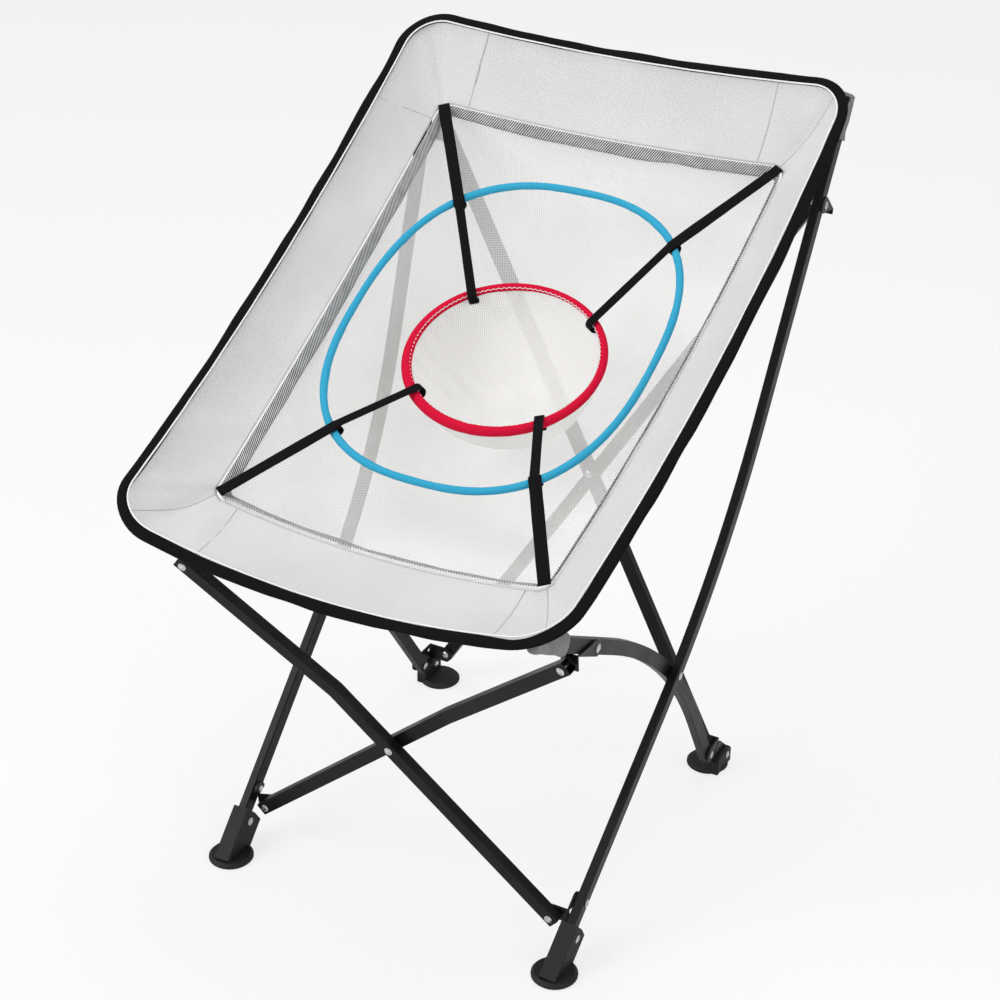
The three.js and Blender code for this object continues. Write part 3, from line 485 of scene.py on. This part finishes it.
borderCloth = {
    "rows": 30,
    "inset": 9,
    "thickness": 1.0,
    "sag": 5,
    "swell": (1.0, 90, 21),
    "crumple": (0.35, 26, 23),
    "cutMargin": 60,
    # each fold: (x, w) at the opening and at the rim, height and width in millimetres
    "folds": [
        ((-206, 284), (-243, 345), -7, 11),
        ((-170, 282), (-176, 354), 5, 10),
        ((-213, 250), (-258, 262), 4.5, 12),
        ((-192, -270), (-246, -300), 7.5, 12),
        ((-194, -284), (-226, -350), -8, 10),
        ((-170, -296), (-160, -362), 5, 12),
        ((-204, 120), (-262, 60), 2.4, 30),
        ((-200, -190), (-258, -214), 3.4, 16),
        ((120, -298), (132, -368), 2.2, 18),
        ((203, 284), (244, 342), -4, 10),
        ((211, 240), (262, 262), 3, 14),
        ((186, -276), (226, -346), -4, 10),
        ((60, 280), (85, 354), 2, 30),
        ((-60, -298), (-90, -380), 2.4, 28),
        ((204, -120), (262, -150), 2.2, 34),
    ],
    # each sewn seam: its ends at the opening and at the rim
    "seams": [
        ((175, 282), (181, 354)),
        ((203, 279), (243, 343)),
        ((170, -290), (180, -366)),
        ((187, -275), (224, -340)),
        ((-158, -293), (-142, -370)),
        ((-188, -277), (-226, -342)),
        ((-209, 262), (-252, 246)),
        ((-176, 281), (-170, 354)),
    ],
}
seam = {"width": 1.5, "rows": 61, "sides": 8, "margin": 0.02, "above": 0.7, "rise": 0.4}


def foldHeight(x, w, share):
    height = 0.0
    for (ax, aw), (bx, bw), size, width in borderCloth["folds"]:
        line = Vector((bx - ax, bw - aw))
        here = Vector((x - ax, w - aw))
        along = here.dot(line) / line.length_squared
        if -0.3 < along < 1.3:
            aside = abs(here.x * line.y - here.y * line.x) / line.length
            height += size * math.exp(-((aside / (width * (0.45 + 0.55 * max(0, along)))) ** 2))
    return height * math.sin(math.pi * min(1, max(0, share)))


def borderPoint(outer, inner, share, lift=0.0):  # share runs from 0 at the rim to 1 at the opening
    x, w, drop = mixed(outer, inner, share)
    belly = math.sin(math.pi * share)
    n = (rim["height"] + 0.5) * (1 - share) - borderCloth["sag"] * belly
    loose = wander(x, w, borderCloth["swell"]) + wander(x, w, borderCloth["crumple"])
    n += foldHeight(x, w, share) + loose * belly
    return onNet(x, w, n + lift, drop)


def makeBorder():
    outer = netOutline(rim, borderCloth["inset"])
    inner = netOutline(opening, 0)
    count = borderCloth["rows"]
    rows = [[borderPoint(a, b, k / (count - 1)) for a, b in zip(outer, inner)] for k in range(count)]
    bm = loft(rows)
    area = sum(face.calc_area() for face in bm.faces)
    wall = borderCloth["thickness"] * mm
    piece = finishPiece(bm, "border_cloth", "border", thickness=wall)
    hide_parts("fabric_border")


def nearest(outline, place):
    # The outline's point, with its drop, nearest to a place given as (x, w)
    return min(outline, key=lambda p: (p[0] - place[0]) ** 2 + (p[1] - place[1]) ** 2)


def makeSeams():
    outer, inner = netOutline(rim, borderCloth["inset"]), netOutline(opening, 0)
    for number, (low, high) in enumerate(borderCloth["seams"]):
        a, b = nearest(outer, high), nearest(inner, low)
        aside = Vector((b[1] - a[1], a[0] - b[0])).normalized() * seam["width"] / 2
        rows = []
        for k in range(seam["rows"]):
            share = seam["margin"] + (1 - 2 * seam["margin"]) * k / (seam["rows"] - 1)
            stitch = 0.75 + 0.25 * math.cos(math.pi * k)
            row = []
            for turn in range(seam["sides"]):
                t = 2 * math.pi * turn / seam["sides"]
                shift = (aside.x * math.cos(t) * stitch, aside.y * math.cos(t) * stitch, 0)
                ends = [tuple(p + q for p, q in zip(end, shift)) for end in (a, b)]
                row.append(borderPoint(*ends, share, seam["above"] + seam["rise"] * math.sin(t)))
            rows.append(row)
        bm = loft(rows, capFirst=True, capLast=True)
        finishPiece(bm, f"border_seam_{number + 1}", "thread")


# Bag

bag = {
    "depth": 185,
    "floor": {"centre": 25, "halfLength": 150, "top": 120, "bottom": 120, "topCorner": 72,
              "bottomCorner": 72, "topSag": 0, "sideSag": 0, "bottomSag": 0, "bow": 0},
    "rounding": 1.6,
    "bulge": 8,
    "wrinkles": (2.2, 38, 61),
    "smallWrinkles": (1.32, 15, 63),
    "levels": 30,
    "floorRings": 14,
    "inset": 2.5,
    "thickness": 0.5,
    "frames": 24,
    "slack": 0.02,
    "furthest": 5,
    "cutShare": 1.25,
}
hanging = {"quality": 6, "mass": 0.08, "stretch": 12, "shear": 4, "bending": 0.05}


def bagRow(share):
    shape = {}
    for key, value in opening.items():
        pace = share ** bag["rounding"] if key in ("top", "bottom", "halfLength") else share
        shape[key] = value + (bag["floor"][key] - value) * pace
    belly = math.sin(math.pi * share)
    row = []
    for x, w, drop in netOutline(shape, bag["inset"] - bag["bulge"] * belly):
        wrinkle = wander(x, w, bag["wrinkles"]) + wander(x * 0.4, w, bag["smallWrinkles"])
        out = Vector((x, w)).normalized() * belly * wrinkle
        row.append(onNet(x + out.x, w + out.y, -0.4 - share * (bag["depth"] - 4), drop))
    return row


def bagRows():
    rows = [bagRow(k / (bag["levels"] - 1)) for k in range(bag["levels"])]
    floor = rows[-1]
    middle = sum(floor, Vector()) / len(floor)
    for k in range(1, bag["floorRings"]):
        rows.append([middle + (p - middle) * (1 - k / bag["floorRings"]) for p in floor])
    return rows


def hang(bm, name, pinnedRows, settings):
    # Drops a net under its own weight from its pinned rows, and holds back the points that move furthest.
    mesh = bpy.data.meshes.new(name)
    rowLayer = bm.verts.layers.int["row"]
    bm.verts.ensure_lookup_table()
    pinned = [v.index for v in bm.verts if v[rowLayer] < pinnedRows]
    bm.to_mesh(mesh)
    piece = bpy.data.objects.new(name, mesh)
    bpy.context.scene.collection.objects.link(piece)
    piece.vertex_groups.new(name="sewn").add(pinned, 1.0, "REPLACE")
    cloth = piece.modifiers.new("hang", "CLOTH")
    cloth.settings.quality = hanging["quality"]
    cloth.settings.mass = hanging["mass"]
    cloth.settings.tension_stiffness = hanging["stretch"]
    cloth.settings.compression_stiffness = hanging["stretch"]
    cloth.settings.shear_stiffness = hanging["shear"]
    cloth.settings.bending_stiffness = hanging["bending"]
    cloth.settings.shrink_min = -settings["slack"]
    cloth.settings.vertex_group_mass = "sewn"
    cloth.collision_settings.use_self_collision = False
    cloth.point_cache.frame_end = settings["frames"]
    scene = bpy.context.scene
    for step in range(1, settings["frames"] + 1):
        scene.frame_set(step)
    depsgraph = bpy.context.evaluated_depsgraph_get()
    shaped = piece.evaluated_get(depsgraph).to_mesh()
    limit = settings["furthest"] * mm
    for vert, moved in zip(bm.verts, shaped.vertices):
        step = moved.co - vert.co
        if step.length > limit:
            step *= limit / step.length
        vert.co += step
    scene.frame_set(1)
    bpy.data.objects.remove(piece)


def makeBag():
    bm = loft(bagRows(), capLast=True)
    area = sum(face.calc_area() for face in bm.faces)
    hang(bm, "bagHang", 1, bag)
    piece = finishPiece(bm, "pocket_bag_net", "net", thickness=bag["thickness"] * mm)
    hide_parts("pocket_bag")


# Tape round the opening

tape = {"width": 14, "thickness": 0.9, "rows": 6, "inset": 3.8, "lean": 5, "nearLean": 4.5, "above": 2.0,
        "waves": (2.4, 50, 31), "droop": (1.2, 34, 33)}


def makeTape():
    rows = []
    for k in range(tape["rows"]):
        share = k / (tape["rows"] - 1)
        row = []
        for x, w, drop in netOutline(opening, tape["inset"] + tape["lean"] * share):
            w += tape["nearLean"] * share * smooth(-2 * w / opening["halfLength"])
            width = tape["width"] + wander(x, w, tape["waves"])
            droop = share * wander(x, w, tape["droop"])
            row.append(onNet(x, w, tape["above"] - share * width, drop + droop))
        rows.append(row)
    wall = tape["thickness"] * mm
    finishPiece(loft(rows), "opening_tape", "tape", thickness=wall)


# Hoops

# `heavy` is how much thicker the sleeve gets on one side, where its cloth bunches up.
hoops = {
    "outer": {"x": -3, "w": 6, "height": -16, "halfWidth": 174, "halfLength": 201, "power": 2.5,
              "radius": 4, "heavy": 0.0, "seed": 41, "finish": "blue", "slot": "blue_cloth"},
    "inner": {"x": -2, "w": -5, "height": -47, "halfWidth": 109, "halfLength": 96, "power": 2,
              "radius": 5, "heavy": 0.9, "seed": 57, "finish": "red", "slot": "red_cloth"},
}


def hoopPoint(hoop, angle, grow=0.0):
    c, s = rounded(angle, 2 / hoop["power"])
    x = hoop["x"] + (hoop["halfWidth"] + grow) * c
    return Vector((x, hoop["w"] + (hoop["halfLength"] + grow) * s))


def makeHoop(name, steps=240, sides=14):
    hoop = hoops[name]
    rows = []
    for k in range(sides):
        turn = 2 * math.pi * k / sides
        row = []
        for i in range(steps):
            angle = 2 * math.pi * i / steps
            x, w = hoopPoint(hoop, angle)
            pucker = wander(x, w, (0.25, 7, hoop["seed"])) + wander(x, w, (0.35, 30, hoop["seed"] + 4))
            radius = hoop["radius"] + pucker * (1 + 0.6 * math.cos(turn + 2.2))
            radius += hoop["heavy"] * (math.sin(angle + math.radians(200)) - 0.2)
            flat = hoopPoint(hoop, angle, radius * math.cos(turn))
            row.append(onNet(flat.x, flat.y, hoop["height"] + radius * math.sin(turn)))
        rows.append(row)
    bm = loft(rows, acrossClosed=True)
    piece = finishPiece(bm, f"{name}_hoop_sleeve", hoop["finish"])
    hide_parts(f"{name}_hoop")


stitching = {"count": 220, "reach": 0.8, "inside": 3.9, "above": 3.0, "radius": 0.42}


def makeStitches():  # the white zigzag that holds the cup's net to the red sleeve
    hoop = hoops["inner"]
    path = []
    for i in range(stitching["count"]):
        zigzag = stitching["reach"] if i % 2 else -stitching["reach"]
        flat = hoopPoint(hoop, 2 * math.pi * i / stitching["count"], zigzag - stitching["inside"])
        path.append((flat.x, flat.y, hoop["height"] + stitching["above"], 0))
    bm = loft(tubeRows(path, stitching["radius"], 6), acrossClosed=True)
    finishPiece(bm, "inner_hoop_stitches", "edge")


# Cup

cup = {"depth": 78, "floorShare": 0.45, "rounding": 2.4, "levels": 18, "floorRings": 8, "thickness": 0.5,
       "frames": 20, "slack": 0.03, "furthest": 4, "gathers": 26, "gatherDepth": 1.2, "below": 2,
       "cutShare": 1.15}


def cupRows(steps=120):
    hoop = hoops["inner"]
    middle = Vector((hoop["x"], hoop["w"]))
    rows = []
    for k in range(cup["levels"]):
        s = k / (cup["levels"] - 1)
        share = 1 - (1 - cup["floorShare"]) * s ** cup["rounding"]
        row = []
        for i in range(steps):
            angle = 2 * math.pi * i / steps
            place = (hoopPoint(hoop, angle, -0.6 * hoop["radius"]) - middle) * share
            gather = cup["gatherDepth"] * math.sin(angle * cup["gathers"]) * math.exp(-s * 5)
            flat = middle + place + place.normalized() * gather
            row.append(onNet(flat.x, flat.y, hoop["height"] - cup["below"] - cup["depth"] * s))
        rows.append(row)
    floor = rows[-1]
    centre = sum(floor, Vector()) / len(floor)
    for k in range(1, cup["floorRings"]):
        rows.append([centre + (p - centre) * (1 - k / cup["floorRings"]) for p in floor])
    return rows


def makeCup():
    bm = loft(cupRows(), capLast=True)
    area = sum(face.calc_area() for face in bm.faces)
    hang(bm, "cupHang", 2, cup)
    piece = finishPiece(bm, "cup_net_cloth", "net", thickness=cup["thickness"] * mm)
    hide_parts("inner_cup_net")


# Straps

# Each strap runs from the opening's corner round the outer hoop, and on round the inner one.
straps = {
    "thickness": 1.3,
    "outer": {"width": 13, "clear": 1.0},
    "inner": {"width": 10, "clear": 2.4},
    "places": {
        "top": [(203, 274), (129, 158), (73, 62)],
        "bottom": [(184, -274), (116, -159), (73, -73)],
    },
}


def bandSection(width, thickness):
    half, rise = width / 2, thickness / 2
    left = [(-half, -rise * 0.6), (-half * 0.9, -rise)]
    lower = left + [(0, -rise)] + [(-s, t) for s, t in reversed(left)]
    return lower + [(-s, -t) for s, t in lower]


def wrapPoints(hoop, centre, forward, clear):
    # (distance along the strap, height) over the hoop's top, round it and back beneath
    radius = hoop["radius"] + clear
    points = []
    for i in range(14):
        a = math.radians(90 - 18 * i)
        points.append((centre + forward * radius * math.cos(a), hoop["height"] + radius * math.sin(a)))
    return points


def strapPath(start, end, along, startHoop, endHoop, clear):
    if startHoop:
        path = list(reversed(wrapPoints(startHoop, start.dot(along), -1, clear)))
    else:
        first = start.dot(along)
        path = [(first - 3, 2.6), (first, 2.4), (first + 5, 1.2)]
    ending = wrapPoints(endHoop, end.dot(along), 1, clear)
    first, last = Vector(path[-1]), Vector(ending[0])
    return path + [tuple(first.lerp(last, i / 14)) for i in range(1, 14)] + ending


def makeStrap(name, points, sign, size, startHoop, endHoop):
    start, end = [Vector((sign * x, w)) for x, w in points]
    along = (end - start).normalized()
    across = Vector((-along.y, along.x))
    base = start - along * start.dot(along)
    path = strapPath(start, end, along, startHoop, endHoop, size["clear"])
    rows = []
    for i, (distance, height) in enumerate(path):
        before, after = Vector(path[max(0, i - 1)]), Vector(path[min(len(path) - 1, i + 1)])
        tangent = (after - before).normalized()
        normal = Vector((-tangent.y, tangent.x))
        spot = base + along * distance
        twist = wander(spot.x, spot.y, (0.10, 50, 70 + sign))
        grown = size["width"] * (1 + wander(spot.x, spot.y, (0.05, 30, 75)))
        row = []
        for s, t in bandSection(grown, straps["thickness"]):
            flat = spot + along * normal.x * t + across * s
            row.append(onNet(flat.x, flat.y, height + normal.y * t + s * twist))
        rows.append(row)
    return finishPiece(loft(rows, capFirst=True, capLast=True), name, "strap")


def makeStraps():
    outerHoop, innerHoop = hoops["outer"], hoops["inner"]
    for end, (corner, outer, inner) in straps["places"].items():
        for hand, sign in (("right", 1), ("left", -1)):
            name = f"strap_{end}_{hand}"
            long = makeStrap(f"{name}_outer", (corner, outer), sign, straps["outer"], None, outerHoop)
            makeStrap(f"{name}_inner", (outer, inner), sign, straps["inner"], outerHoop, innerHoop)
            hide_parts(name)


# Corner pockets

# Each side of the stand leans outwards from its foot; y and z below are in that leaning plane.
sideFrame = {"footHalfSpacing": 204, "splay": math.radians(3.2), "back": 212.2}


def onSide(sign, offset, y, z):
    c, s = math.cos(sideFrame["splay"]), math.sin(sideFrame["splay"])
    x = sideFrame["footHalfSpacing"] + offset * c + z * s
    return Vector((sign * x, y - sideFrame["back"], z * c - offset * s)) * mm


# The tip is where the tube ends, (y, z). The seam is drawn up to the rim over the last `reach`
# millimetres, between two angles of the rim's rounded corner.
pockets = {
    "upper": {"tip": (536.2, 813.9), "heading": 68, "offset": 0, "up": 1, "length": 46, "reach": 36,
              "body": "{}_pole", "corner": (8, 74), "mouth": 1.15},
    "lower": {"tip": (-94.5, 462), "heading": 150.5, "offset": -10.8, "up": -1, "length": 66, "reach": 34,
              "body": "side_tube_{}", "corner": (286, 338), "mouth": 1.2},
}
sleeve = {"halfWidth": 6.9, "halfDepth": 9.9, "overTip": 2.6, "stations": 30, "sides": 30, "thickness": 0.8,
          "crease": (0.9, 13, 81), "pleats": 0.5, "seamDrop": 2.9, "closing": 0.35, "cutShare": 1.2}


def underRim(sign, degrees, aside):
    end = "top" if degrees < 180 else "bottom"
    corner = rim[end + "Corner"]
    radius = corner - binding["width"] / 2 + aside
    a = math.radians(degrees)
    x = rim[end] - corner + radius * math.cos(a)
    w = math.copysign(rim["halfLength"] - corner, math.sin(a)) + radius * math.sin(a)
    x, w, drop = sagged(rim, binding["width"] / 2, x, w)
    return onNet(sign * x, w, rim["height"] - sleeve["seamDrop"], drop)


def pocketRow(pocket, sign, share):
    back = pocket["length"] * (1 - share) - sleeve["overTip"] * share
    heading = math.radians(pocket["heading"])
    out = Vector((math.cos(heading), math.sin(heading)))
    up = Vector((-out.y, out.x)) * pocket["up"]
    base = Vector(pocket["tip"]) - out * back
    drawn = smooth((pocket["reach"] - back) / (0.45 * pocket["reach"]))
    low, high = pocket["corner"]
    degrees = low + (high - low) * min(1, max(0, 1 - back / pocket["reach"]))
    flare = 1 + (pocket["mouth"] - 1) * (1 - smooth(share * 5))
    closing = 1 - sleeve["closing"] * smooth((share - 0.965) / 0.035)
    row = []
    for i in range(sleeve["sides"]):
        a = 2 * math.pi * i / sleeve["sides"]
        s, t = rounded(a, 0.6)[0], rounded(a, 0.7)[1]
        crease = wander(back + 40 * sign, 12 * a, sleeve["crease"])
        crease += sleeve["pleats"] * math.sin(3 * a + back / 7)
        reach = (1 + 0.06 * crease) * flare * closing
        flat = base + up * t * sleeve["halfDepth"] * reach
        aside = s * sleeve["halfWidth"] * reach * (1 + 0.05 * crease)
        onTube = onSide(sign, pocket["offset"] + aside, flat.x, flat.y)
        gathered = smooth((t - 0.1) / 0.9) * drawn
        row.append(onTube.lerp(underRim(sign, degrees, 1.4 * s + 0.5 * crease), gathered))
    return row


def makePocket(end, hand, sign):
    pocket = pockets[end]
    count = sleeve["stations"]
    rows = [pocketRow(pocket, sign, k / (count - 1)) for k in range(count)]
    bm = loft(rows, capLast=True)
    area = sum(face.calc_area() for face in bm.faces)
    body, wall = pocket["body"].format(hand), sleeve["thickness"] * mm
    piece = finishPiece(bm, f"{end}_pocket_cloth_{hand}", "pocket", body, wall, offset=-1)
    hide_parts(f"{end}_pocket_{hand}")


# Dressing the CAD nodes

softNodes = ("rim_", "fabric_", "pocket_", "outer_", "inner_", "strap_", "lower_pocket", "upper_pocket")


def finishFor(name):
    if name.startswith(softNodes):
        return "pocket"
    if "rivet" in name:
        return "rivet"
    if "bracket" in name:
        return "plate"
    if "foot" in name:
        return "foot"
    return "tube"


def dressNodes():
    for name, node in cadNodes.items():
        node.data.materials.clear()
        node.data.materials.append(finishes[finishFor(name)])


# Studio

camera = {
    "place": Vector((0.960785, -1.749879, 1.463489)),
    "heading": math.radians(26.098),
    "down": math.radians(27.982),
    "roll": math.radians(2.076),
    "lens": 75.805,
    "shift": (-0.0743, 0.0081),
}


def placeCamera():
    made = bpy.data.objects.new("camera", bpy.data.cameras.new("camera"))
    bpy.context.scene.collection.objects.link(made)
    heading = Matrix.Rotation(camera["heading"], 4, "Z")
    tilt = Matrix.Rotation(math.pi / 2 - camera["down"], 4, "X")
    roll = Matrix.Rotation(camera["roll"], 4, "Z")
    made.matrix_world = Matrix.Translation(camera["place"]) @ heading @ tilt @ roll
    made.data.lens = camera["lens"]
    made.data.shift_x, made.data.shift_y = camera["shift"]
    made.data.clip_end = 100
    bpy.context.scene.camera = made


lamps = {
    "key": {"place": (-2.2, -2.6, 2.6), "size": 2.2, "power": 70},
    "fill": {"place": (2.8, -1.6, 1.8), "size": 2.4, "power": 22},
    "top": {"place": (0.2, 0.6, 3.4), "size": 2.0, "power": 26},
}
world = {"light": 0.55, "background": 1.0}
floor = {"size": 24, "colour": (0.9, 0.9, 0.9), "glow": 0.72}


def placeLamps():
    aim = Vector((0, 0, 0.45))
    for name, lamp in lamps.items():
        light = bpy.data.lights.new(name, "AREA")
        light.shape = "DISK"
        light.size = lamp["size"]
        light.energy = lamp["power"]
        made = bpy.data.objects.new(name, light)
        bpy.context.scene.collection.objects.link(made)
        place = Vector(lamp["place"])
        towards = (aim - place).to_track_quat("-Z", "Y").to_matrix().to_4x4()
        made.matrix_world = Matrix.Translation(place) @ towards


def placeWorld():
    made = bpy.data.worlds.new("studio")
    made.use_nodes = True
    tree = made.node_tree
    path = makeNode(tree, "LightPath")
    seen = mathNode(tree, "MAXIMUM", path.outputs["Is Camera Ray"], path.outputs["Is Transmission Ray"])
    strength = spread(tree, seen, 0, 1, world["light"], world["background"])
    tree.links.new(strength, tree.nodes["Background"].inputs["Strength"])
    tree.nodes["Background"].inputs["Color"].default_value = (1, 1, 1, 1)
    bpy.context.scene.world = made


def placeFloor():
    bm = bmesh.new()
    bmesh.ops.create_circle(bm, cap_ends=True, segments=96, radius=floor["size"] / 2)
    mesh = bpy.data.meshes.new("floor")
    bm.to_mesh(mesh)
    bm.free()
    made = bpy.data.objects.new("floor", mesh)
    bpy.context.scene.collection.objects.link(made)
    material, tree, shader = newMaterial("paleFloor", 0.9, floor["colour"])
    path = makeNode(tree, "LightPath")
    glow = makeNode(tree, "Emission", {"Color": (1, 1, 1, 1), "Strength": 1.0})
    share = mathNode(tree, "MULTIPLY", path.outputs["Is Camera Ray"], floor["glow"])
    surface = makeNode(tree, "MixShader", {0: share, 1: shader.outputs[0], 2: glow.outputs[0]})
    tree.links.new(surface.outputs[0], tree.nodes["Material Output"].inputs["Surface"])
    mesh.materials.append(material)


# Everything

placeCamera()
placeLamps()
placeWorld()
placeFloor()
bpy.context.scene.view_settings.view_transform = "Standard"
print("studio placed")
dressNodes()
makeBinding()
makeTurnedEdge()
makeBorder()
makeSeams()
makeTape()
print("rim and border made")
makeBag()
makeHoop("outer")
makeHoop("inner")
makeStitches()
makeCup()
makeStraps()
print("target made")
for pocketEnd in pockets:
    makePocket(pocketEnd, "right", 1)
    makePocket(pocketEnd, "left", -1)
print("corner pockets made")
